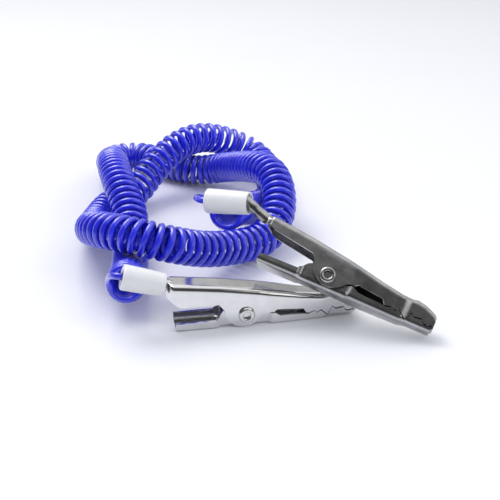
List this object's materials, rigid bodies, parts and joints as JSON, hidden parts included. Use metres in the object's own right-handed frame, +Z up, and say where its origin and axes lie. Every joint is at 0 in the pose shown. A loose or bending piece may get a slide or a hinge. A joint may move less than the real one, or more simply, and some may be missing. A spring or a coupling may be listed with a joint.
{
  "type": "curly ground cord with alligator clips",
  "caption": "Curly blue insulated ground cord lying in a loose double loop, with a nickel-plated alligator clip on each end joined through white plastic sleeves.",
  "frame": {"origin": "bottom centre of the box round the two clips, on the surface they lie on", "axes": "+X to the right along the front clip's length towards the noses, +Y away from the viewer of the picture, +Z up"},
  "size_m": [0.0967, 0.1258, 0.0286],
  "materials": {
    "plated_steel": "bright nickel plate, polished",
    "spring_steel": "drawn wire",
    "white_sleeve": "smooth, semi-gloss white",
    "blue_cord": "glossy, slightly translucent royal blue",
    "bare_conductor": "bare copper strands, modelled as one round"
  },
  "bodies": {
    "clips_and_cord": {"front_upper_jaw": "plated_steel", "front_rivet": "plated_steel", "rear_upper_jaw": "plated_steel", "rear_rivet": "plated_steel", "front_spring": "spring_steel", "rear_spring": "spring_steel", "front_sleeve": "white_sleeve", "rear_sleeve": "white_sleeve", "front_conductor_end": "bare_conductor", "rear_conductor_end": "bare_conductor", "coiled_cord": "blue_cord"},
    "front_lower": {"front_lower_jaw": "plated_steel"},
    "rear_lower": {"rear_lower_jaw": "plated_steel"}
  },
  "joints": [
    {"name": "front_jaw", "type": "hinge", "parent": "clips_and_cord", "child": "front_lower", "pos_m": [-0.00804, -0.00452, 0.0034], "axis": [-0.1761, 0.9844, 0], "range_deg": [0, 13.5], "stiffness_Nm_per_rad": 0.05, "springref_deg": -51.57, "deforming": ["front_spring"]},
    {"name": "rear_jaw", "type": "hinge", "parent": "clips_and_cord", "child": "rear_lower", "pos_m": [0.01239, -0.00468, 0.0114], "axis": [0.0463, 0.7354, -0.6761], "range_deg": [0, 13.5], "stiffness_Nm_per_rad": 0.05, "springref_deg": -51.57, "deforming": ["rear_spring"]}
  ]
}
